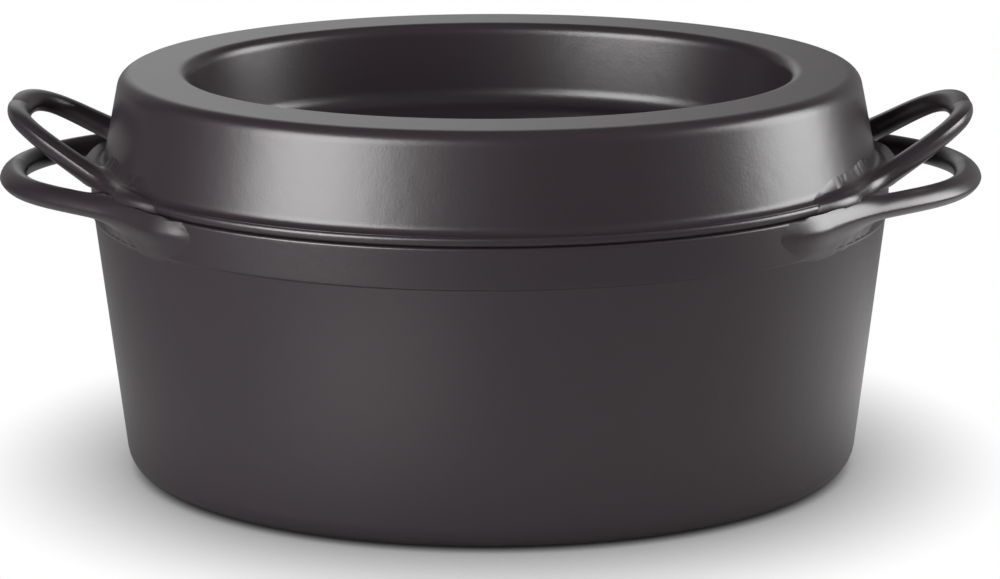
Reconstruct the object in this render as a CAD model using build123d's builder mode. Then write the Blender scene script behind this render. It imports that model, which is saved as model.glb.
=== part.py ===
import os
from math import atan2, cos, degrees, radians, sin, sqrt, tan

from build123d import *

# Millimetres, +Z up. The origin is the middle of the pot's flat base, X runs along the oval.
# Every "inset" is measured square to the oval, inwards from the outline of the lid's flange.

# Oval outline of the lid's flange: four tangent arcs
flange_length = 329.0
flange_width = 260.0
flange_side_radius = 207.6

# Pot casting
pot_height = 127.1
base_thickness = 5.0
rim_inner_inset = 3.6
wall_thickness = 4.2
wall_draft = 5.8
collar_height = 16.7
collar_overhang = 1.2
collar_step = 0.8
collar_edge_radius = 0.7
collar_root_radius = 1.4
rim_edge_radius = 0.8
foot_radius = 11.0
cavity_foot_radius = 8.0

# Lid casting, one wall all the way from the flange over the ring to the tray
flange_thickness = 4.0
flange_edge_radius = 1.5
flange_root_radius = 4.0
lid_height = 41.7
lid_wall_inset = 4.0
lid_wall_draft = 12.0
lid_wall_thickness = 4.1
shoulder_radius = 6.4
ring_inner_inset = 39.8
tray_lip_radius = 4.8
tray_draft = 6.0
tray_depth = 35.0
tray_foot_radius = 8.0
tray_thickness = 4.1
channel_radius = 3.0
lip_depth = 4.5
lip_thickness = 4.0
lip_clearance = 1.3
lip_edge_radius = 1.2

# Basting bumps under the tray
bump_radius = 3.0
bump_height = 2.0
bump_pitch = 16.0
bump_margin = 16.0

# Pot handles: level loops that leave the collar along the oval
pot_handle_reach = 34.0
pot_handle_drop = 3.2
pot_handle_tilt = 1.5
pot_handle_tip_radius = 54.0
pot_handle_splay = 35.0
pot_handle_leg = 72.0
pot_handle_width = 11.4
pot_handle_thickness = 9.6

# Lid handles: loops that rise outwards over the pot handles
lid_handle_reach = 30.7
lid_handle_pivot_inset = 14.0
lid_handle_lift = 0.8
lid_handle_rise = 28.5
lid_handle_tip_radius = 33.5
lid_handle_splay = 22.5
lid_handle_root_run = 27.0
lid_handle_root_angle = 62.0
lid_handle_root_radius = 30.0
lid_handle_root_drop = 1.6
lid_handle_width = 11.4
lid_handle_thickness = 8.6

ridge_drop = 0.9
ridge_radius = 0.7
seat_clearance = 0.3
plate_inset = 62.0
handle_room = 40.0

half_length = flange_length / 2
half_width = flange_width / 2
flange_end_radius = (half_length**2 + half_width**2 - 2 * half_width * flange_side_radius) / (
    2 * (half_length - flange_side_radius)
)
end_centre = half_length - flange_end_radius
side_centre = flange_side_radius - half_width
end_half_angle = degrees(atan2(side_centre, end_centre))
side_half_angle = 90 - end_half_angle

# Each sector of the oval: arc centre, arc radius, start angle and angle covered
sectors = [
    ((end_centre, 0), flange_end_radius, -end_half_angle, 2 * end_half_angle),
    ((0, -side_centre), flange_side_radius, 90 - side_half_angle, 2 * side_half_angle),
    ((-end_centre, 0), flange_end_radius, 180 - end_half_angle, 2 * end_half_angle),
    ((0, side_centre), flange_side_radius, 270 - side_half_angle, 2 * side_half_angle),
]


def sector_plane(centre, radius, start):
    """Upright plane at the start of a sector: x outwards from the flange's outline, y up."""
    angle = radians(start)
    origin = (centre[0] + radius * cos(angle), centre[1] + radius * sin(angle), 0)
    return Plane(origin, x_dir=(cos(angle), sin(angle), 0), z_dir=(sin(angle), -cos(angle), 0))


def oval(inset):
    """The flange's outline, moved inwards by the inset."""
    with BuildSketch() as outline:
        with BuildLine():
            for centre, radius, start, covered in sectors:
                CenterArc(centre, radius - inset, start, covered)
        make_face()
    return outline.sketch


def handle_section(width, thickness):
    """Rod section: domed above and below, rounded inside, with the parting ridge outside."""
    ridge = (width / 2, -ridge_drop)
    with BuildSketch() as section:
        with BuildLine():
            TangentArc((0, thickness / 2), ridge, tangent=(1, 0))
            TangentArc((0, -thickness / 2), ridge, tangent=(1, 0))
            EllipticalCenterArc((0, 0), width / 2, thickness / 2, start_angle=90, arc_size=180)
        make_face()
        fillet(section.vertices().sort_by_distance(ridge)[0], ridge_radius)
    return section.sketch


# Pot: heights and insets of its wall
collar_bottom = pot_height - collar_height
wall_slope = tan(radians(wall_draft))
wall_top_inset = collar_step - collar_overhang
wall_foot_inset = wall_top_inset + collar_bottom * wall_slope
cavity_foot_inset = wall_foot_inset - base_thickness * wall_slope + wall_thickness

pot_outline = [
    (-plate_inset, 0),
    (-wall_foot_inset, 0),
    (-wall_top_inset, collar_bottom),
    (collar_overhang, collar_bottom + collar_step),
    (collar_overhang, pot_height),
    (-rim_inner_inset, pot_height),
    (-cavity_foot_inset, base_thickness),
    (-plate_inset, base_thickness),
]
pot_corner_radii = [
    0,
    foot_radius,
    collar_root_radius,
    collar_edge_radius,
    rim_edge_radius,
    rim_edge_radius,
    cavity_foot_radius,
    0,
]

with BuildPart() as pot_body:
    for centre, radius, start, covered in sectors:
        with BuildSketch(sector_plane(centre, radius, start)):
            with BuildLine():
                FilletPolyline(*pot_outline, radius=pot_corner_radii, close=True)
            make_face()
        revolve(axis=Axis((*centre, 0), (0, 0, 1)), revolution_arc=covered)
    with BuildSketch():
        add(oval(plate_inset))
    extrude(amount=base_thickness)

# Lid: heights and insets of its wall
flange_top = pot_height + flange_thickness
ring_top = pot_height + lid_height
tray_floor = ring_top - tray_depth
tray_underside = tray_floor - tray_thickness
lid_wall_slope = tan(radians(lid_wall_draft))
tray_slope = tan(radians(tray_draft))
shoulder_inset = lid_wall_inset + (ring_top - flange_top) * lid_wall_slope
tray_foot_inset = ring_inner_inset + tray_depth * tray_slope
channel_top = ring_top - tray_thickness
channel_outer_inset = shoulder_inset - tray_thickness * lid_wall_slope + lid_wall_thickness
tray_wall_back = ring_inner_inset - tray_thickness / cos(radians(tray_draft))
channel_inner_inset = tray_wall_back + tray_thickness * tray_slope
tray_back_foot_inset = tray_wall_back + (ring_top - tray_underside) * tray_slope
lip_outer_inset = rim_inner_inset + lip_clearance
lip_inner_inset = lip_outer_inset + lip_thickness
lip_bottom = pot_height - lip_depth

lid_outline = [
    (0, pot_height),
    (0, flange_top),
    (-lid_wall_inset, flange_top),
    (-shoulder_inset, ring_top),
    (-ring_inner_inset, ring_top),
    (-tray_foot_inset, tray_floor),
    (-plate_inset, tray_floor),
    (-plate_inset, tray_underside),
    (-tray_back_foot_inset, tray_underside),
    (-channel_inner_inset, channel_top),
    (-channel_outer_inset, channel_top),
    (-lip_inner_inset, flange_top),
    (-lip_inner_inset, lip_bottom),
    (-lip_outer_inset, lip_bottom),
    (-lip_outer_inset, pot_height),
]
lid_corner_radii = [
    flange_edge_radius,
    flange_edge_radius,
    flange_root_radius,
    shoulder_radius,
    tray_lip_radius,
    tray_foot_radius,
    0,
    0,
    tray_foot_radius + tray_thickness,
    channel_radius,
    channel_radius,
    channel_radius,
    lip_edge_radius,
    lip_edge_radius,
    0,
]

bump_field = oval(tray_back_foot_inset + bump_margin)
bump_field_size = bump_field.bounding_box().size
bump_rows = int(bump_field_size.Y // (bump_pitch * sqrt(3) / 2)) + 1
bump_columns = int(bump_field_size.X // bump_pitch) + 1
bump_places = []
for row in range(-bump_rows, bump_rows + 1):
    for column in range(-bump_columns, bump_columns + 1):
        place = ((column + (row % 2) / 2) * bump_pitch, row * bump_pitch * sqrt(3) / 2)
        if bump_field.face().is_inside(Vector(*place, 0)):
            bump_places.append(place)

with BuildPart() as lid_body:
    for centre, radius, start, covered in sectors:
        with BuildSketch(sector_plane(centre, radius, start)):
            with BuildLine():
                FilletPolyline(*lid_outline, radius=lid_corner_radii, close=True)
            make_face()
        revolve(axis=Axis((*centre, 0), (0, 0, 1)), revolution_arc=covered)
    with BuildSketch(Plane.XY.offset(tray_underside)):
        add(oval(plate_inset))
    extrude(amount=tray_thickness)
    with Locations(Plane.XY.offset(tray_underside + bump_radius - bump_height)):
        with Locations(*bump_places):
            Sphere(bump_radius)

# Pot handles: the loop lies in a nearly level plane through the flange's end
pot_tilt = radians(pot_handle_tilt)
pot_handle_plane = Plane(
    (half_length, 0, pot_height - pot_handle_drop),
    x_dir=(cos(pot_tilt), 0, sin(pot_tilt)),
    z_dir=(-sin(pot_tilt), 0, cos(pot_tilt)),
)
pot_splay = radians(pot_handle_splay)
pot_apex = pot_handle_reach + pot_handle_tip_radius * (1 / sin(pot_splay) - 1)
pot_leg_end = pot_handle_reach - pot_handle_tip_radius * (1 - sin(pot_splay))
pot_root = pot_leg_end - pot_handle_leg * cos(pot_splay)
pot_root_spread = (pot_apex - pot_root) * tan(pot_splay)
pot_root_point = pot_handle_plane.from_local_coords((pot_root, pot_root_spread))
pot_leg_direction = pot_handle_plane.from_local_coords((pot_apex, 0)) - pot_root_point
pot_leg_outwards = pot_handle_plane.z_dir.cross(pot_leg_direction) * -1

with BuildPart() as pot_handle:
    with BuildLine(pot_handle_plane) as pot_loop:
        FilletPolyline(
            (pot_root, pot_root_spread),
            (pot_apex, 0),
            (pot_root, -pot_root_spread),
            radius=pot_handle_tip_radius,
        )
    with BuildSketch(Plane(pot_root_point, pot_leg_outwards, pot_leg_direction)):
        add(handle_section(pot_handle_width, pot_handle_thickness))
    sweep(path=pot_loop.wires()[0])
    with BuildSketch():
        add(oval(-collar_overhang))
    extrude(amount=pot_height + handle_room, mode=Mode.SUBTRACT)

# Lid handles: the loop rises from a level root that runs along the flange's edge
lid_rise = radians(lid_handle_rise)
lid_handle_plane = Plane(
    (half_length - lid_handle_pivot_inset, 0, pot_height + lid_handle_lift),
    x_dir=(cos(lid_rise), 0, sin(lid_rise)),
    z_dir=(-sin(lid_rise), 0, cos(lid_rise)),
)
lid_splay = radians(lid_handle_splay)
lid_tip = (lid_handle_pivot_inset + lid_handle_reach) / cos(lid_rise)
lid_apex = lid_tip + lid_handle_tip_radius * (1 / sin(lid_splay) - 1)
lid_knee = lid_handle_plane.from_local_coords((0, lid_apex * tan(lid_splay)))
lid_root_angle = radians(lid_handle_root_angle)
lid_root = lid_knee + Vector(
    -lid_handle_root_run * cos(lid_root_angle),
    lid_handle_root_run * sin(lid_root_angle),
    -lid_handle_root_drop,
)
lid_root_outwards = Vector(sin(lid_root_angle), cos(lid_root_angle), 0)

with BuildPart() as lid_handle:
    with BuildLine() as lid_loop:
        FilletPolyline(
            lid_root,
            lid_knee,
            lid_handle_plane.from_local_coords((lid_apex, 0)),
            (lid_knee.X, -lid_knee.Y, lid_knee.Z),
            (lid_root.X, -lid_root.Y, lid_root.Z),
            radius=[lid_handle_root_radius, lid_handle_tip_radius, lid_handle_root_radius],
        )
    with BuildSketch(Plane(lid_root, lid_root_outwards, lid_knee - lid_root)):
        add(handle_section(lid_handle_width, lid_handle_thickness))
    sweep(path=lid_loop.wires()[0])
    add(lid_body.part, mode=Mode.SUBTRACT)
    with BuildSketch(Plane.XY.offset(lip_bottom)):
        add(oval(lip_outer_inset))
    extrude(amount=lid_height, mode=Mode.SUBTRACT)
    with BuildSketch(Plane.XY.offset(pot_height + seat_clearance)):
        Rectangle(2 * flange_length, 2 * flange_width)
    extrude(amount=-handle_room, mode=Mode.SUBTRACT)

# Each handle is the one loop that stands out of its casting, and the left one mirrors the right
with BuildPart() as pot_handle_right:
    add(pot_handle.solids().sort_by(SortBy.VOLUME)[-1])

with BuildPart() as pot_handle_left:
    mirror(pot_handle_right.part, about=Plane.YZ)

with BuildPart() as lid_handle_right:
    add(lid_handle.solids().sort_by(SortBy.VOLUME)[-1])

with BuildPart() as lid_handle_left:
    mirror(lid_handle_right.part, about=Plane.YZ)

pot_body.part.label = "pot_body"
pot_handle_left.part.label = "pot_handle_left"
pot_handle_right.part.label = "pot_handle_right"
lid_body.part.label = "lid_body"
lid_handle_left.part.label = "lid_handle_left"
lid_handle_right.part.label = "lid_handle_right"

os.makedirs("parts", exist_ok=True)
export_step(pot_body.part, "parts/pot_body.step")
export_step(pot_handle_left.part, "parts/pot_handle_left.step")
export_step(pot_handle_right.part, "parts/pot_handle_right.step")
export_step(lid_body.part, "parts/lid_body.step")
export_step(lid_handle_left.part, "parts/lid_handle_left.step")
export_step(lid_handle_right.part, "parts/lid_handle_right.step")
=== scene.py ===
import math

import bmesh
import bpy
import numpy as np
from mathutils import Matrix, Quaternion, Vector


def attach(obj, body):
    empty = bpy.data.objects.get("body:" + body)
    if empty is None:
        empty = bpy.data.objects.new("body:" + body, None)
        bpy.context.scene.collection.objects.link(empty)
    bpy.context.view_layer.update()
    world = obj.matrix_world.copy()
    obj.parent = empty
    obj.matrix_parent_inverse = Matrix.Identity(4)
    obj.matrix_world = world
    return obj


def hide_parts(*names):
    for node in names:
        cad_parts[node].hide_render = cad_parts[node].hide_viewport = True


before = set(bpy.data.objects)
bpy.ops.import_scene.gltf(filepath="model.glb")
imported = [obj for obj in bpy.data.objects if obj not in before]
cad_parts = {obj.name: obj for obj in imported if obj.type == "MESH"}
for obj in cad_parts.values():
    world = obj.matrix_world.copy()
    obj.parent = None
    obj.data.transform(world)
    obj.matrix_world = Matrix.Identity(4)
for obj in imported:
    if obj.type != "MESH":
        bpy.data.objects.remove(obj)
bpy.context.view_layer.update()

mm = 0.001

# Sizes are in millimetres, and every offset is measured outwards, square to this oval:
# the outline of the lid's flange
oval = {
    "length": 329.0,
    "width": 260.0,
    "fourthWave": -0.9,     # how much fuller the oval is than a plain ellipse-like curve
    "pathPoints": 384,
}

def ovalTerms():
    # Constant, second and fourth term of the oval's support function
    second = (oval["length"] - oval["width"]) / 4
    constant = (oval["length"] + oval["width"]) / 4 - oval["fourthWave"]
    return constant, second, oval["fourthWave"]


def filletedOutline(corners, arcSteps=8, guard=0.8):
    # Corners are (offset, height, radius). Guard points hold the flats flat under smooth shading.
    spans = []
    for index, corner in enumerate(corners):
        here = np.array(corner[:2], float)
        if index in (0, len(corners) - 1) or corner[2] == 0:
            spans.append([here])
            continue
        toBefore = np.array(corners[index - 1][:2]) - here
        toAfter = np.array(corners[index + 1][:2]) - here
        toBefore, toAfter = toBefore / np.linalg.norm(toBefore), toAfter / np.linalg.norm(toAfter)
        opening = math.acos(np.clip(toBefore @ toAfter, -1, 1))
        reach = corner[2] / math.tan(opening / 2)
        middle = toBefore + toAfter
        centre = here + middle / np.linalg.norm(middle) * corner[2] / math.sin(opening / 2)
        first, last = here + toBefore * reach - centre, here + toAfter * reach - centre
        turn = math.atan2(first[0] * last[1] - first[1] * last[0], first @ last)
        arc = []
        for step in range(arcSteps + 1):
            angle = turn * step / arcSteps
            arc.append(centre + np.array((
                first[0] * math.cos(angle) - first[1] * math.sin(angle),
                first[0] * math.sin(angle) + first[1] * math.cos(angle),
            )))
        spans.append(arc)
    points = []
    for span, following in zip(spans, spans[1:] + [None]):
        points += span
        if following is None:
            break
        gap = following[0] - span[-1]
        length = np.linalg.norm(gap)
        if length > 3 * guard:
            points += [span[-1] + gap / length * guard, following[0] - gap / length * guard]
    return np.array(points)


pot = {
    "height": 127.1,
    "baseThickness": 5.0,
    "wallThickness": 4.2,
    "wallDraft": 5.8,
    "collarHeight": 16.7,
    "collarOverhang": 1.2,
    "collarStep": 0.8,
    "rimInnerInset": 3.6,
    "collarRootRadius": 1.4,
    "collarEdgeRadius": 0.7,
    "rimEdgeRadius": 0.8,
    "footRadius": 11.0,
    "cavityFootRadius": 8.0,
    "plateInset": 62.0,     # the flat plate in the middle starts here
}


def potCorners():
    # Outside and inside profile of the pot: offset, height and corner radius
    slope = math.tan(math.radians(pot["wallDraft"]))
    collarBottom = pot["height"] - pot["collarHeight"]
    wallTop = pot["collarOverhang"] - pot["collarStep"]
    wallFoot = wallTop - collarBottom * slope
    cavityFoot = wallFoot + pot["baseThickness"] * slope - pot["wallThickness"]
    outside = [
        (-pot["plateInset"], 0, 0),
        (wallFoot, 0, pot["footRadius"]),
        (wallTop, collarBottom, pot["collarRootRadius"]),
        (pot["collarOverhang"], collarBottom + pot["collarStep"], pot["collarEdgeRadius"]),
        (pot["collarOverhang"], pot["height"], pot["rimEdgeRadius"]),
    ]
    inside = [
        (-pot["rimInnerInset"], pot["height"], pot["rimEdgeRadius"]),
        (cavityFoot, pot["baseThickness"], pot["cavityFootRadius"]),
        (-pot["plateInset"], pot["baseThickness"], 0),
    ]
    return outside, inside


lid = {
    "flangeThickness": 4.0,
    "flangeEdgeRadius": 1.5,
    "flangeRootRadius": 4.0,
    "height": 41.7,
    "wallInset": 4.0,
    "wallDraft": 12.0,
    "wallThickness": 4.1,
    "shoulderRadius": 6.4,
    "ringInnerInset": 39.8,
    "trayLipRadius": 4.8,
    "trayDraft": 6.0,
    "trayDepth": 35.0,
    "trayFootRadius": 8.0,
    "trayThickness": 4.1,
    "channelRadius": 3.0,   # inner corners of the hollow between the tray and the outer wall
    "lipDepth": 4.5,
    "lipThickness": 4.0,
    "lipClearance": 1.3,    # between the locating lip and the pot's mouth
    "lipEdgeRadius": 1.2,
    "plateInset": 62.0,
}


def lidCorners():
    # Upper and lower profile of the lid, which share the flange's underside
    slope = math.tan(math.radians(lid["wallDraft"]))
    trayAngle = math.radians(lid["trayDraft"])
    traySlope = math.tan(trayAngle)
    rim = pot["height"]
    flangeTop, ringTop = rim + lid["flangeThickness"], rim + lid["height"]
    trayFloor = ringTop - lid["trayDepth"]
    trayUnder = trayFloor - lid["trayThickness"]
    shoulder = lid["wallInset"] + (ringTop - flangeTop) * slope
    trayBack = lid["ringInnerInset"] - lid["trayThickness"] / math.cos(trayAngle)
    trayFootBack = trayBack + (ringTop - trayUnder) * traySlope
    channelTop = ringTop - lid["trayThickness"]
    channelOuter = shoulder - lid["trayThickness"] * slope + lid["wallThickness"]
    lipOuter = pot["rimInnerInset"] + lid["lipClearance"]
    lipInner = lipOuter + lid["lipThickness"]
    outside = [
        (0, rim, lid["flangeEdgeRadius"]),
        (0, flangeTop, lid["flangeEdgeRadius"]),
        (-lid["wallInset"], flangeTop, lid["flangeRootRadius"]),
        (-shoulder, ringTop, lid["shoulderRadius"]),
        (-lid["ringInnerInset"], ringTop, lid["trayLipRadius"]),
        (-lid["ringInnerInset"] - lid["trayDepth"] * traySlope, trayFloor, lid["trayFootRadius"]),
        (-lid["plateInset"], trayFloor, 0),
    ]
    underside = [
        (-lid["plateInset"], trayUnder, 0),
        (-trayFootBack, trayUnder, lid["trayFootRadius"] + lid["trayThickness"]),
        (-trayBack - lid["trayThickness"] * traySlope, channelTop, lid["channelRadius"]),
        (-channelOuter, channelTop, lid["channelRadius"]),
        (-lipInner, flangeTop, lid["channelRadius"]),
        (-lipInner, rim - lid["lipDepth"], lid["lipEdgeRadius"]),
        (-lipOuter, rim - lid["lipDepth"], lid["lipEdgeRadius"]),
        (-lipOuter, rim, 0),
    ]
    return outside, underside


# Short forms for building node trees
def addNode(tree, kind, **settings):
    node = tree.nodes.new(kind)
    for name, value in settings.items():
        setattr(node, name, value)
    return node


def fill(tree, socket, value):
    if hasattr(value, "is_linked"):
        tree.links.new(value, socket)
    else:
        socket.default_value = value


def calc(tree, operation, first, second=0.0, third=0.0):
    node = addNode(tree, "ShaderNodeMath", operation=operation)
    for socket, value in zip(node.inputs, (first, second, third)):
        fill(tree, socket, value)
    return node.outputs[0]


def newTree(name, inputs):
    tree = bpy.data.node_groups.new(name, "GeometryNodeTree")
    tree.interface.new_socket("Geometry", in_out="INPUT", socket_type="NodeSocketGeometry")
    for label, kind in inputs:
        tree.interface.new_socket(label, in_out="INPUT", socket_type=kind)
    tree.interface.new_socket("Geometry", in_out="OUTPUT", socket_type="NodeSocketGeometry")
    return tree, tree.nodes.new("NodeGroupInput"), tree.nodes.new("NodeGroupOutput")


def finishTree(tree, geometry, material, output):
    realised = addNode(tree, "GeometryNodeRealizeInstances")
    painted = addNode(tree, "GeometryNodeSetMaterial")
    tree.links.new(geometry, realised.inputs["Geometry"])
    tree.links.new(realised.outputs["Geometry"], painted.inputs["Geometry"])
    tree.links.new(material, painted.inputs["Material"])
    tree.links.new(painted.outputs["Geometry"], output.inputs[0])


def runTree(name, mesh, tree, values):
    # Puts the tree on a carrier mesh and returns its result as a plain object
    carrier = bpy.data.objects.new(name + "Carrier", mesh)
    bpy.context.scene.collection.objects.link(carrier)
    modifier = carrier.modifiers.new(name, "NODES")
    modifier.node_group = tree
    for item in tree.interface.items_tree:
        if item.in_out == "INPUT" and item.name in values:
            modifier[item.identifier] = values[item.name]
    bpy.context.view_layer.update()
    result = bpy.data.meshes.new_from_object(carrier.evaluated_get(bpy.context.evaluated_depsgraph_get()))
    bpy.data.objects.remove(carrier)
    result.name = name
    finished = bpy.data.objects.new(name, result)
    bpy.context.scene.collection.objects.link(finished)
    return finished


def sweepTree():
    # Carries a profile round the oval, whose points come from its support function
    tree, given, output = newTree("sweepRoundOval", [
        ("Length", "NodeSocketFloat"),
        ("Width", "NodeSocketFloat"),
        ("Fourth wave", "NodeSocketFloat"),
        ("Path points", "NodeSocketInt"),
        ("Finish", "NodeSocketMaterial"),
    ])
    length, width, fourth = given.outputs["Length"], given.outputs["Width"], given.outputs["Fourth wave"]
    second = calc(tree, "MULTIPLY", calc(tree, "SUBTRACT", length, width), 0.25)
    constant = calc(tree, "MULTIPLY", calc(tree, "ADD", length, width), 0.25)
    constant = calc(tree, "SUBTRACT", constant, fourth)
    index = addNode(tree, "GeometryNodeInputIndex").outputs[0]
    share = calc(tree, "DIVIDE", index, given.outputs["Path points"])
    angle = calc(tree, "MULTIPLY", share, 2 * math.pi)
    twice, fourTimes = calc(tree, "MULTIPLY", angle, 2.0), calc(tree, "MULTIPLY", angle, 4.0)
    support = calc(tree, "MULTIPLY_ADD", second, calc(tree, "COSINE", twice), constant)
    support = calc(tree, "MULTIPLY_ADD", fourth, calc(tree, "COSINE", fourTimes), support)
    slide = calc(tree, "MULTIPLY", calc(tree, "MULTIPLY", second, -2.0), calc(tree, "SINE", twice))
    fourthSlide = calc(tree, "MULTIPLY", fourth, -4.0)
    slide = calc(tree, "MULTIPLY_ADD", fourthSlide, calc(tree, "SINE", fourTimes), slide)
    cosine, sine = calc(tree, "COSINE", angle), calc(tree, "SINE", angle)
    across = calc(tree, "MULTIPLY", support, cosine)
    across = calc(tree, "SUBTRACT", across, calc(tree, "MULTIPLY", slide, sine))
    along = calc(tree, "MULTIPLY_ADD", support, sine, calc(tree, "MULTIPLY", slide, cosine))
    place = addNode(tree, "ShaderNodeCombineXYZ")
    tree.links.new(across, place.inputs["X"])
    tree.links.new(along, place.inputs["Y"])

    circle = addNode(tree, "GeometryNodeCurvePrimitiveCircle", mode="RADIUS")
    tree.links.new(given.outputs["Path points"], circle.inputs["Resolution"])
    shaped = addNode(tree, "GeometryNodeSetPosition")
    tree.links.new(circle.outputs["Curve"], shaped.inputs["Geometry"])
    tree.links.new(place.outputs[0], shaped.inputs["Position"])
    upright = addNode(tree, "GeometryNodeSetCurveNormal", mode="Z_UP")
    tree.links.new(shaped.outputs["Geometry"], upright.inputs["Curve"])
    profile = addNode(tree, "GeometryNodeMeshToCurve")
    tree.links.new(given.outputs["Geometry"], profile.inputs["Mesh"])
    sweep = addNode(tree, "GeometryNodeCurveToMesh")
    tree.links.new(upright.outputs["Curve"], sweep.inputs["Curve"])
    tree.links.new(profile.outputs["Curve"], sweep.inputs["Profile Curve"])
    finishTree(tree, sweep.outputs["Mesh"], given.outputs["Finish"], output)
    return tree


def closeAndSmooth(target):
    # Closes the flat plates in the middle and turns every face outwards
    shape = bmesh.new()
    shape.from_mesh(target.data)
    rims = [edge for edge in shape.edges if edge.is_boundary]
    if rims:
        bmesh.ops.edgeloop_fill(shape, edges=rims)
    bmesh.ops.recalc_face_normals(shape, faces=shape.faces)
    for face in shape.faces:
        face.smooth = True
    shape.to_mesh(target.data)
    shape.free()


def makeCasting(name, node, outline, tree, finish):
    # The sweep takes the profile curve sideways for the offset and downwards for the height
    points = [(offset * mm, -height * mm, 0) for offset, height in outline]
    mesh = bpy.data.meshes.new(name + "Profile")
    mesh.from_pydata(points, [(i, i + 1) for i in range(len(points) - 1)], [])
    casting = runTree(name, mesh, tree, {
        "Length": oval["length"] * mm,
        "Width": oval["width"] * mm,
        "Fourth wave": oval["fourthWave"] * mm,
        "Path points": oval["pathPoints"],
        "Finish": finish,
    })
    closeAndSmooth(casting)
    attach(casting, node.split("_")[0])
    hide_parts(node)
    print(name, len(casting.data.polygons), "faces", [round(v * 1000, 1) for v in casting.dimensions])
    return casting


# Between the legs of a lid handle the flange reaches a little further out
flangeWeb = {
    "reach": 4.5,
    "halfWidth": 40.0,
    "fade": 22.0,
    "edgeDepth": 2.6,       # the flange moves from this far inside its edge
    "edgeFade": 1.1,
    "fromMiddle": 100.0,    # and only beyond this distance from the pot's middle
}


def widenFlangeEnds(body):
    # Pulls the flange's edge out between the legs of each lid handle
    places = np.array([vertex.co[:] for vertex in body.data.vertices]) / mm
    angle, offset = ovalPlace(places)
    overRim = places[:, 2] - pot["height"]
    moves = (overRim > -0.01) & (overRim < lid["flangeThickness"] + 0.01)
    moves &= np.abs(places[:, 0]) > flangeWeb["fromMiddle"]
    across = np.clip((flangeWeb["halfWidth"] - np.abs(places[:, 1])) / flangeWeb["fade"], 0, 1)
    across = across * across * (3 - 2 * across)
    outer = np.clip((offset + flangeWeb["edgeDepth"]) / flangeWeb["edgeFade"], 0, 1)
    pull = np.where(moves, flangeWeb["reach"] * across * outer, 0)
    places[:, 0] += pull * np.cos(angle)
    places[:, 1] += pull * np.sin(angle)
    for vertex, place in zip(body.data.vertices, places * mm):
        vertex.co = place
    print("flange ends widened by", flangeWeb["reach"])


bumps = {
    "radius": 3.0,
    "height": 2.0,
    "pitch": 16.0,
    "lengthRoom": 200.0,    # the oval field that the bumps keep to
    "widthRoom": 131.0,
    "columns": 17,          # of the grid that the field is cut from
    "rows": 13,
    "segments": 16,
    "rings": 8,
}


def bumpTree():
    # A staggered grid of points inside an oval field, each with a small dome
    tree, given, output = newTree("bastingBumps", [
        ("Field length", "NodeSocketFloat"),
        ("Field width", "NodeSocketFloat"),
        ("Pitch", "NodeSocketFloat"),
        ("Bump radius", "NodeSocketFloat"),
        ("Centre height", "NodeSocketFloat"),
        ("Columns", "NodeSocketInt"),
        ("Rows", "NodeSocketInt"),
        ("Finish", "NodeSocketMaterial"),
    ])
    pitch, columns, rows = given.outputs["Pitch"], given.outputs["Columns"], given.outputs["Rows"]
    points = addNode(tree, "GeometryNodePoints")
    tree.links.new(calc(tree, "MULTIPLY", columns, rows), points.inputs["Count"])
    index = addNode(tree, "GeometryNodeInputIndex").outputs[0]
    row = calc(tree, "FLOOR", calc(tree, "DIVIDE", index, columns))
    column = calc(tree, "SUBTRACT", index, calc(tree, "MULTIPLY", row, columns))
    middleRow = calc(tree, "MULTIPLY", calc(tree, "SUBTRACT", rows, 1.0), 0.5)
    middleColumn = calc(tree, "MULTIPLY", calc(tree, "SUBTRACT", columns, 1.0), 0.5)
    fromMiddle = calc(tree, "SUBTRACT", row, middleRow)
    shift = calc(tree, "MULTIPLY", calc(tree, "FLOORED_MODULO", fromMiddle, 2.0), 0.5)
    centred = calc(tree, "SUBTRACT", column, middleColumn)
    across = calc(tree, "MULTIPLY", calc(tree, "ADD", centred, shift), pitch)
    along = calc(tree, "MULTIPLY", calc(tree, "MULTIPLY", fromMiddle, math.sqrt(3) / 2), pitch)
    place = addNode(tree, "ShaderNodeCombineXYZ")
    tree.links.new(across, place.inputs["X"])
    tree.links.new(along, place.inputs["Y"])
    tree.links.new(given.outputs["Centre height"], place.inputs["Z"])
    tree.links.new(place.outputs[0], points.inputs["Position"])
    reachX = calc(tree, "DIVIDE", across, calc(tree, "MULTIPLY", given.outputs["Field length"], 0.5))
    reachY = calc(tree, "DIVIDE", along, calc(tree, "MULTIPLY", given.outputs["Field width"], 0.5))
    beyond = calc(tree, "ADD", calc(tree, "MULTIPLY", reachX, reachX), calc(tree, "MULTIPLY", reachY, reachY))
    inside = calc(tree, "LESS_THAN", beyond, 1.0)
    dome = addNode(tree, "GeometryNodeMeshUVSphere")
    dome.inputs["Segments"].default_value = bumps["segments"]
    dome.inputs["Rings"].default_value = bumps["rings"]
    tree.links.new(given.outputs["Bump radius"], dome.inputs["Radius"])
    placed = addNode(tree, "GeometryNodeInstanceOnPoints")
    tree.links.new(points.outputs[0], placed.inputs["Points"])
    tree.links.new(inside, placed.inputs["Selection"])
    tree.links.new(dome.outputs["Mesh"], placed.inputs["Instance"])
    finishTree(tree, placed.outputs["Instances"], given.outputs["Finish"], output)
    return tree


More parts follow.
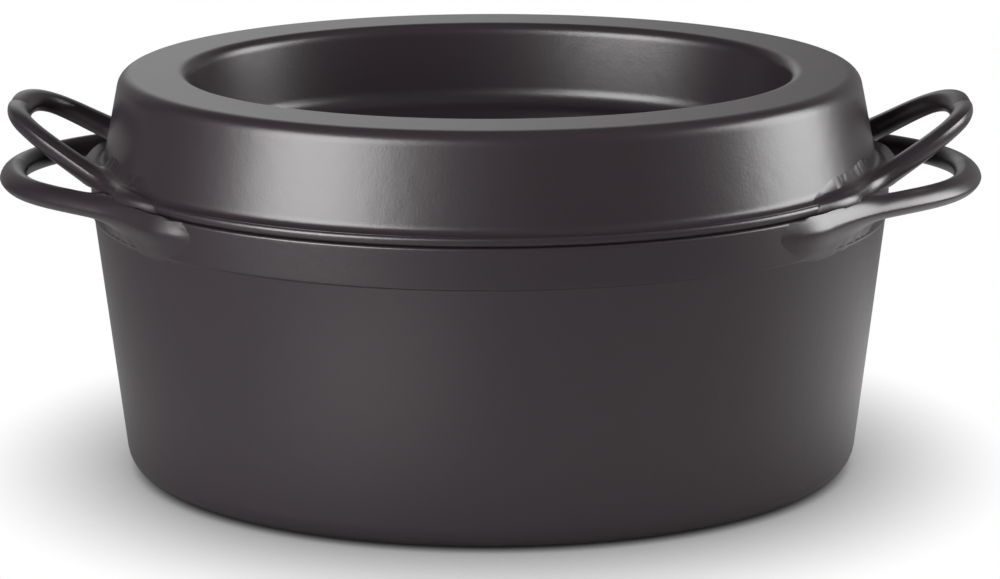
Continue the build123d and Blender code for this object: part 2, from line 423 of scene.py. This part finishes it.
def makeBumps(finish):
    trayUnder = pot["height"] + lid["height"] - lid["trayDepth"] - lid["trayThickness"]
    made = runTree("bastingBumps", bpy.data.meshes.new("bumpCarrier"), bumpTree(), {
        "Field length": bumps["lengthRoom"] * mm,
        "Field width": bumps["widthRoom"] * mm,
        "Pitch": bumps["pitch"] * mm,
        "Bump radius": bumps["radius"] * mm,
        "Centre height": (trayUnder + bumps["radius"] - bumps["height"]) * mm,
        "Columns": bumps["columns"],
        "Rows": bumps["rows"],
        "Finish": finish,
    })
    closeAndSmooth(made)
    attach(made, "lid")
    print("bastingBumps", len(made.data.polygons), "faces")


def ovalPlace(points, rounds=12):
    # Angle of the oval's normal at each point, and the offset of the point from the oval
    constant, second, fourth = ovalTerms()
    x, y = points[:, 0], points[:, 1]
    angle = np.arctan2(y * oval["length"] / oval["width"], x)
    for _ in range(rounds):
        slide = -2 * second * np.sin(2 * angle) - 4 * fourth * np.sin(4 * angle)
        bend = -4 * second * np.cos(2 * angle) - 16 * fourth * np.cos(4 * angle)
        missed = -x * np.sin(angle) + y * np.cos(angle) - slide
        rate = -x * np.cos(angle) - y * np.sin(angle) - bend
        angle = angle - missed / rate
    support = constant + second * np.cos(2 * angle) + fourth * np.cos(4 * angle)
    return angle, x * np.cos(angle) + y * np.sin(angle) - support


def onOval(angle, offset, height):
    # The other way round: the points that have this angle, offset and height
    constant, second, fourth = ovalTerms()
    support = constant + second * np.cos(2 * angle) + fourth * np.cos(4 * angle) + offset
    slide = -2 * second * np.sin(2 * angle) - 4 * fourth * np.sin(4 * angle)
    x = support * np.cos(angle) - slide * np.sin(angle)
    y = support * np.sin(angle) + slide * np.cos(angle)
    return np.stack((x, y, height), axis=1)


def skinDistance(offset, height, outline):
    # Signed distance in the plane of the profile, negative inside the solid outline
    here = np.stack((offset, height), axis=1)[:, None, :]
    start, end = outline[None, :, :], np.roll(outline, -1, axis=0)[None, :, :]
    span = end - start
    share = np.clip(((here - start) * span).sum(2) / np.maximum((span * span).sum(2), 1e-12), 0, 1)
    nearest = np.sqrt((((start + span * share[:, :, None]) - here) ** 2).sum(2)).min(1)
    crosses = (start[:, :, 1] > here[:, :, 1]) != (end[:, :, 1] > here[:, :, 1])
    rise = np.where(np.abs(span[:, :, 1]) < 1e-12, 1e-12, span[:, :, 1])
    meets = start[:, :, 0] + (here[:, :, 1] - start[:, :, 1]) / rise * span[:, :, 0]
    inside = (crosses & (meets > here[:, :, 0])).sum(1) % 2 == 1
    return np.where(inside, -nearest, nearest)


def loopSection(width, thickness, ridgeDrop, perArc=10, bulge=0.13):
    # Softly domed above and below, rounded on the inner side, with a parting ridge on the outer side
    half, points = width / 2, []
    ridge = np.array((half, -ridgeDrop))
    for side in (1, -1):
        crown = np.array((0, side * thickness / 2))
        chord = crown - ridge
        across = np.array((-chord[1], chord[0])) * -side
        share = np.arange(1, perArc)[:, None] / perArc
        points.append(ridge + chord * share + across * 4 * bulge * share * (1 - share))
    angles = np.linspace(math.pi / 2, 3 * math.pi / 2, 19)
    inner = np.stack((half * np.cos(angles), thickness / 2 * np.sin(angles)), axis=1)
    edge = (points[0][0] + points[1][0]) * 0.15 + ridge * 0.7
    return np.vstack((edge[None, :], points[0], inner, points[1][::-1]))


# Both handles: each section's share of the way from root (0) to tip (1) sets its size,
# and it is negative on the buried run along the casting
loop = {
    "sections": 221,
    "sizeRamp": 1.4,        # the tip's size is reached before the tip
    "buriedShrink": 0.4,
    "blendStart": 1.15,
    "leastBlend": 0.04,     # share of the blend that is left at the buried end
    "sink": 0.15,           # how far under the skin the buried faces lie
    "sharpAngle": 38.0,
}

# Centre line of half a loop: from the root along two guide points to the tip, heights from the rim
potHandle = {
    "root": (129.9, 77.8, -5.3),
    "leave": (155.9, 51.1, -0.9),
    "approach": (198.4, 44.2, -3.9),
    "tip": (198.4, 0.0, -1.9),
    "rootWidth": 11.8,
    "tipWidth": 11.4,
    "rootThickness": 9.8,
    "tipThickness": 9.8,
    "lean": 0.6,
    "inwardLean": 4.6,
    "ridgeDrop": 0.9,
    "rootRun": 26.0,        # the rod's way along the casting before it stands free
    "rootSink": 5.0,        # how deep it starts
    "blend": 9.0,           # how far the soft joint with the casting spreads
    "topLimit": -0.15,      # against the rim, so that the lid's flange seats
}

lidHandle = {
    "root": (142.7, 62.7, -0.9),
    "leave": (151.0, 22.8, -5.1),
    "approach": (195.2, 48.6, 30.4),
    "tip": (195.2, 0.0, 23.6),
    "rootWidth": 14.9,
    "tipWidth": 10.7,
    "rootThickness": 10.1,
    "tipThickness": 8.0,
    "lean": 30.4,
    "inwardLean": 25.2,
    "ridgeDrop": 0.7,
    "rootRun": 24.0,
    "rootSink": 7.0,
    "blend": 8.0,
    "bottomLimit": 0.3,     # against the rim, so that the pot stays clear
}


def centreLine(handle, steps):
    # Even steps along the right-hand loop, from its buried front root round to its back root
    root, leave, approach, tip = (
        np.array(handle[name]) * (1, -1, 1) + (0, 0, pot["height"])
        for name in ("root", "leave", "approach", "tip")
    )
    share = np.linspace(0, 1, 400)[:, None]
    rest = 1 - share
    free = rest ** 3 * root + 3 * rest ** 2 * share * leave
    free = free + 3 * rest * share ** 2 * approach + share ** 3 * tip
    angle, offset = ovalPlace(root[None, :])
    constant, second, fourth = ovalTerms()
    bend = constant - 3 * second * math.cos(2 * angle[0]) - 15 * fourth * math.cos(4 * angle[0]) + offset[0]
    back = np.linspace(1, 0, 81)[:-1]
    along = angle - back * handle["rootRun"] / bend
    buried = onOval(along, offset - handle["rootSink"] * back ** 2, back * 0 + root[2])
    front = np.vstack((buried, free))
    taper = np.concatenate((-back, share[:, 0]))
    whole = np.vstack((front, front[::-1][1:] * (1, -1, 1)))
    taper = np.concatenate((taper, taper[::-1][1:]))
    travelled = np.concatenate(([0], np.cumsum(np.linalg.norm(np.diff(whole, axis=0), axis=1))))
    even = np.linspace(0, travelled[-1], steps)
    line = np.stack([np.interp(even, travelled, whole[:, axis]) for axis in range(3)], axis=1)
    return line, np.interp(even, travelled, taper)


def limitHeight(points, offset, handle, slope=1.2, most=1.1):
    # A pot handle stays under the lid's flange, and a lid handle clear of the pot
    ramp = np.clip(offset - 1.0, 0, None)
    if "topLimit" in handle:
        ceiling = pot["height"] + handle["topLimit"] + slope * ramp
        points[:, 2] = np.minimum(points[:, 2], ceiling)
    else:
        ground = pot["height"] + handle["bottomLimit"] + slope * np.minimum(ramp, most)
        points[:, 2] = np.maximum(points[:, 2], ground)
    return points


def loopRings(handle):
    # Every section's points and outward normals, and the share of the blend that it gets
    steps = loop["sections"]
    line, taper = centreLine(handle, steps)
    tangent = np.gradient(line, axis=0)
    tangent /= np.linalg.norm(tangent, axis=1)[:, None]
    lean, inward = math.radians(handle["lean"]), math.radians(handle["inwardLean"])
    upright = np.array((-math.sin(lean), 0, math.cos(lean)))[None, :].repeat(steps, axis=0)
    outwards = np.cross(tangent, upright)
    outwards /= np.linalg.norm(outwards, axis=1)[:, None]
    upright = np.cross(outwards, tangent)
    outwards, upright = (
        outwards * math.cos(inward) + upright * math.sin(inward),
        upright * math.cos(inward) - outwards * math.sin(inward),
    )
    ease = np.clip(taper * loop["sizeRamp"], 0, 1)
    shrink = 1 - loop["buriedShrink"] * np.clip(-taper, 0, 1) ** 2
    grown = np.clip(loop["blendStart"] + taper, 0, 1)
    grown = loop["leastBlend"] + (1 - loop["leastBlend"]) * grown * grown * (3 - 2 * grown)
    rings, ringNormals = [], []
    for i in range(steps):
        width = handle["rootWidth"] + (handle["tipWidth"] - handle["rootWidth"]) * ease[i]
        thickness = handle["rootThickness"] + (handle["tipThickness"] - handle["rootThickness"]) * ease[i]
        section = loopSection(width * shrink[i], thickness * shrink[i], handle["ridgeDrop"])
        edge = np.roll(section, -1, axis=0) - np.roll(section, 1, axis=0)
        facing = np.stack((edge[:, 1], -edge[:, 0]), axis=1)
        facing *= np.sign((facing * section).sum(1))[:, None]
        facing /= np.linalg.norm(facing, axis=1)[:, None]
        rings.append(line[i] + section[:, :1] * outwards[i] + section[:, 1:] * upright[i])
        ringNormals.append(facing[:, :1] * outwards[i] + facing[:, 1:] * upright[i])
    return np.vstack(rings), np.vstack(ringNormals), np.repeat(grown, len(rings[0]))


def blendIntoCasting(points, normals, blend, corners, middle=-90, halvings=16):
    # Grows the rod until it meets the casting in a soft joint. The skin is closed over the
    # middle, so that the joint only knows the outside of the casting.
    outline = filletedOutline(corners, guard=1e9)
    outline = np.vstack((outline, [(middle, outline[-1][1]), (middle, outline[0][1])]))

    def joined(push):
        moved = points + normals * push[:, None]
        _, offset = ovalPlace(moved)
        skin = skinDistance(offset, moved[:, 2], outline)
        overlap = np.maximum(blend - np.abs(skin - push), 0) / blend
        return np.minimum(skin, push) - overlap * overlap * blend / 4

    low, high = np.zeros(len(points)), blend.copy()
    for _ in range(halvings):
        halfway = (low + high) / 2
        outside = joined(halfway) > 0
        high, low = np.where(outside, halfway, high), np.where(outside, low, halfway)
    points = points + normals * high[:, None]

    # What is in the casting, or runs out on it, stays just under its skin
    nudge = 0.01
    for _ in range(4):
        angle, offset = ovalPlace(points)
        skin = skinDistance(offset, points[:, 2], outline)
        slopeOut = (skinDistance(offset + nudge, points[:, 2], outline) - skin) / nudge
        slopeUp = (skinDistance(offset, points[:, 2] + nudge, outline) - skin) / nudge
        lift = np.where(skin < 0.03, -loop["sink"] - skin, 0)
        points = onOval(angle, offset + lift * slopeOut, points[:, 2] + lift * slopeUp)
    return points


def makeHandles(name, node, handle, corners, finish):
    points, normals, grown = loopRings(handle)
    points = blendIntoCasting(points, normals, handle["blend"] * grown, corners)
    points = limitHeight(points, ovalPlace(points)[1], handle)
    steps = loop["sections"]
    count = len(points) // steps
    faces = []
    for ring in range(steps - 1):
        for k in range(count):
            following = (k + 1) % count
            a, b = ring * count + k, ring * count + following
            faces.append((a, b, b + count, a + count))
    faces += [tuple(range(count)), tuple(range((steps - 1) * count, steps * count))]
    for side, mirror in (("Right", 1), ("Left", -1)):
        mesh = bpy.data.meshes.new(name + side)
        mesh.from_pydata((points * (mirror * mm, mm, mm)).tolist(), [], faces)
        mesh.materials.append(finish)
        rod = bpy.data.objects.new(name + side, mesh)
        bpy.context.scene.collection.objects.link(rod)
        closeAndSmooth(rod)
        rod.data.set_sharp_from_angle(angle=math.radians(loop["sharpAngle"]))
        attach(rod, node.split("_")[0])
        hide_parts(node + "_" + side.lower())
    print(name, len(mesh.polygons), "faces each")


enamelLook = {
    "colour": (0.0142, 0.0102, 0.0124, 1),
    "roughness": 0.33,
    "grainPerMetre": 900.0,
    "grainDepth": 0.000035,     # metres
    "grainDetail": 2.0,
    "ripplePerMetre": 140.0,
    "rippleDepth": 0.00006,
    "rippleDetail": 1.0,
}


def makeEnamel():
    # Satin enamel: a fine orange peel over a faint, larger unevenness
    material = bpy.data.materials.new("satinEnamel")
    material.use_nodes = True
    tree = material.node_tree
    shader = tree.nodes["Principled BSDF"]
    shader.inputs["Base Color"].default_value = enamelLook["colour"]
    place = addNode(tree, "ShaderNodeTexCoord").outputs["Object"]
    below = None
    for layer in ("ripple", "grain"):
        noise = addNode(tree, "ShaderNodeTexNoise")
        noise.inputs["Scale"].default_value = enamelLook[layer + "PerMetre"]
        noise.inputs["Detail"].default_value = enamelLook[layer + "Detail"]
        tree.links.new(place, noise.inputs["Vector"])
        bump = addNode(tree, "ShaderNodeBump")
        bump.inputs["Strength"].default_value = 1.0
        bump.inputs["Distance"].default_value = enamelLook[layer + "Depth"]
        tree.links.new(noise.outputs["Fac"], bump.inputs["Height"])
        if below:
            tree.links.new(below, bump.inputs["Normal"])
        below = bump.outputs["Normal"]
    tree.links.new(below, shader.inputs["Normal"])
    shader.inputs["Roughness"].default_value = enamelLook["roughness"]
    print("material satinEnamel")
    return material


# Metres and degrees. A pool is a painted pool of light: a brighter emission patch on the floor or backdrop
# that only the enamel mirrors, so it paints a highlight on the enamel. Its centre, its radius and the light
# that it adds.
studio = {
    "aim": (0, 0, 0.09),
    "key": {
        "azimuth": -42.0, "elevation": 24.0, "distance": 1.7,
        "width": 1.0, "height": 1.35, "power": 60.0,
    },
    "side": {
        "azimuth": 88.0, "elevation": 22.0, "distance": 1.7,
        "width": 1.0, "height": 1.3, "power": 50.0,
    },
    "topPlace": (0, 0.3, 2.2),
    "topSize": 2.4,
    "topPower": 2.5,
    "floorSize": 12.0,
    "floorColour": (0.75, 0.75, 0.75, 1),
    "floorInGloss": 0.06,
    "floorPaintedPools": [((0.05, 0, 0), 0.95, 0.5), ((-0.12, -0.27, 0), 0.17, 0.8), ((0.3, 0.03, 0), 0.24, 0.6)],
    "floorSplit": 0.45,         # where the far floor starts, which mirrors like the backdrop
    # The floor's painted contact shadow: ambient occlusion within this reach darkens its emission
    "shadowReach": 0.07,
    "shadowDepth": 1.4,
    "shadowSamples": 16,
    "backdropDistance": 5.0,
    "backdropHeight": 4.5,
    "backdropInGloss": 0.35,
    "backdropPaintedPools": [((-0.9, 5, 1.6), 2.2, 0.9)],
    "worldStrength": 0.04,
}


def fromCentre(azimuth, elevation, distance):
    a, e = math.radians(azimuth), math.radians(elevation)
    return Vector((math.sin(a) * math.cos(e), -math.cos(a) * math.cos(e), math.sin(e))) * distance


def addPanel(name, place, width, height, power):
    lamp = bpy.data.lights.new(name, "AREA")
    lamp.shape = "RECTANGLE"
    lamp.size, lamp.size_y, lamp.energy = width, height, power
    panel = bpy.data.objects.new(name, lamp)
    panel.location = place
    panel.rotation_mode = "QUATERNION"
    panel.rotation_quaternion = (Vector(studio["aim"]) - place).to_track_quat("-Z", "Y")
    bpy.context.scene.collection.objects.link(panel)


def makeStagePiece(name, corners, inGloss, paintedPools, shadow):
    # White to the camera and a plain diffuse surface to other light; to the enamel a dimmer emission with the
    # painted pools of light.
    # A floor also gets a painted contact shadow: its emission darkens by ambient occlusion close to the
    # object.
    material = bpy.data.materials.new(name + "Paper")
    material.use_nodes = True
    tree = material.node_tree
    tree.nodes.clear()
    output = addNode(tree, "ShaderNodeOutputMaterial")
    rays = addNode(tree, "ShaderNodeLightPath")
    matt = addNode(tree, "ShaderNodeBsdfDiffuse")
    matt.inputs["Color"].default_value = studio["floorColour"]
    glow = addNode(tree, "ShaderNodeEmission")
    place = addNode(tree, "ShaderNodeTexCoord")
    paintedShadowLevel, mirrored = 1.0, inGloss
    # Painted pools of light, which only the enamel's reflections see
    for centre, radius, light in paintedPools:
        reach = addNode(tree, "ShaderNodeVectorMath", operation="DISTANCE")
        tree.links.new(place.outputs["Object"], reach.inputs[0])
        reach.inputs[1].default_value = centre
        fade = addNode(tree, "ShaderNodeMapRange", interpolation_type="SMOOTHERSTEP")
        tree.links.new(reach.outputs["Value"], fade.inputs["Value"])
        fade.inputs["From Max"].default_value = radius
        fade.inputs["To Min"].default_value = light
        fade.inputs["To Max"].default_value = 0.0
        mirrored = calc(tree, "ADD", fade.outputs[0], mirrored)
    if shadow:
        # Painted contact shadow: the white that the camera and the enamel see darkens with ambient occlusion
        closeness = addNode(tree, "ShaderNodeAmbientOcclusion", samples=studio["shadowSamples"])
        closeness.inputs["Distance"].default_value = studio["shadowReach"]
        paintedShadowLevel = calc(tree, "POWER", closeness.outputs["AO"], studio["shadowDepth"])
    toCamera, toEnamel = rays.outputs["Is Camera Ray"], rays.outputs["Is Glossy Ray"]
    mirrored = calc(tree, "MULTIPLY", mirrored, paintedShadowLevel)
    strength = calc(tree, "MULTIPLY_ADD", toEnamel, mirrored, calc(tree, "MULTIPLY", toCamera, paintedShadowLevel))
    tree.links.new(strength, glow.inputs["Strength"])
    mix = addNode(tree, "ShaderNodeMixShader")
    tree.links.new(calc(tree, "MAXIMUM", toCamera, toEnamel), mix.inputs[0])
    tree.links.new(matt.outputs[0], mix.inputs[1])
    tree.links.new(glow.outputs[0], mix.inputs[2])
    tree.links.new(mix.outputs[0], output.inputs["Surface"])
    mesh = bpy.data.meshes.new(name)
    mesh.from_pydata(corners, [], [(0, 1, 2, 3)])
    mesh.materials.append(material)
    piece = bpy.data.objects.new(name, mesh)
    bpy.context.scene.collection.objects.link(piece)


def makeStudio():
    for name in ("key", "side"):
        panel = studio[name]
        place = fromCentre(panel["azimuth"], panel["elevation"], panel["distance"])
        addPanel(name + "Panel", place, panel["width"], panel["height"], panel["power"])
    addPanel("topPanel", Vector(studio["topPlace"]), studio["topSize"], studio["topSize"], studio["topPower"])
    half, far, tall = studio["floorSize"] / 2, studio["backdropDistance"], studio["backdropHeight"]
    split = studio["floorSplit"]
    makeStagePiece("floor", [(-half, -half, 0), (half, -half, 0), (half, split, 0), (-half, split, 0)],
                   studio["floorInGloss"], studio["floorPaintedPools"], True)
    makeStagePiece("farFloor", [(-half, split, 0), (half, split, 0), (half, far, 0), (-half, far, 0)],
                   studio["backdropInGloss"], studio["backdropPaintedPools"], False)
    makeStagePiece("backdrop", [(-half, far, 0), (half, far, 0), (half, far, tall), (-half, far, tall)],
                   studio["backdropInGloss"], studio["backdropPaintedPools"], False)
    world = bpy.data.worlds.new("studioAir")
    bpy.context.scene.world = world
    world.use_nodes = True
    sky = world.node_tree
    background = sky.nodes["Background"]
    background.inputs["Color"].default_value = (1, 1, 1, 1)
    rays = addNode(sky, "ShaderNodeLightPath")
    rest = studio["worldStrength"]
    strength = calc(sky, "MULTIPLY_ADD", rays.outputs["Is Camera Ray"], 1 - rest, rest)
    sky.links.new(strength, background.inputs["Strength"])
    print("studio")


# The photo's camera, in metres, degrees and, for the lens, millimetres on a 36 mm sensor
view = {
    "target": (0.0041, 0.0, 0.0731),
    "distance": 1.2918,
    "azimuth": 1.0,
    "elevation": 16.3,
    "roll": -0.2,
    "lens": 110.2,
    "sensor": 36.0,
}


def makeCamera():
    back = fromCentre(view["azimuth"], view["elevation"], 1)
    lens = bpy.data.cameras.new("photoCamera")
    lens.lens = view["lens"]
    lens.sensor_width = view["sensor"]
    camera = bpy.data.objects.new("photoCamera", lens)
    camera.rotation_mode = "QUATERNION"
    camera.location = Vector(view["target"]) + back * view["distance"]
    roll = Quaternion((0, 0, 1), math.radians(view["roll"]))
    camera.rotation_quaternion = (-back).to_track_quat("-Z", "Y") @ roll
    bpy.context.scene.collection.objects.link(camera)
    bpy.context.scene.camera = camera
    print("camera")


enamel = makeEnamel()
sweep = sweepTree()
potOutside, potInside = potCorners()
lidOutside, lidUnderside = lidCorners()
makeCasting("potBody", "pot_body", filletedOutline(potOutside + potInside), sweep, enamel)
lidBody = makeCasting("lidBody", "lid_body", filletedOutline(lidUnderside + lidOutside), sweep, enamel)
widenFlangeEnds(lidBody)
makeBumps(enamel)
makeHandles("potHandle", "pot_handle", potHandle, potOutside, enamel)
lidSkin = lidOutside[:4] + [(-lid["plateInset"], pot["height"] + lid["height"], 0)]
makeHandles("lidHandle", "lid_handle", lidHandle, lidSkin, enamel)
makeStudio()
makeCamera()
bpy.context.scene.view_settings.view_transform = "Standard"
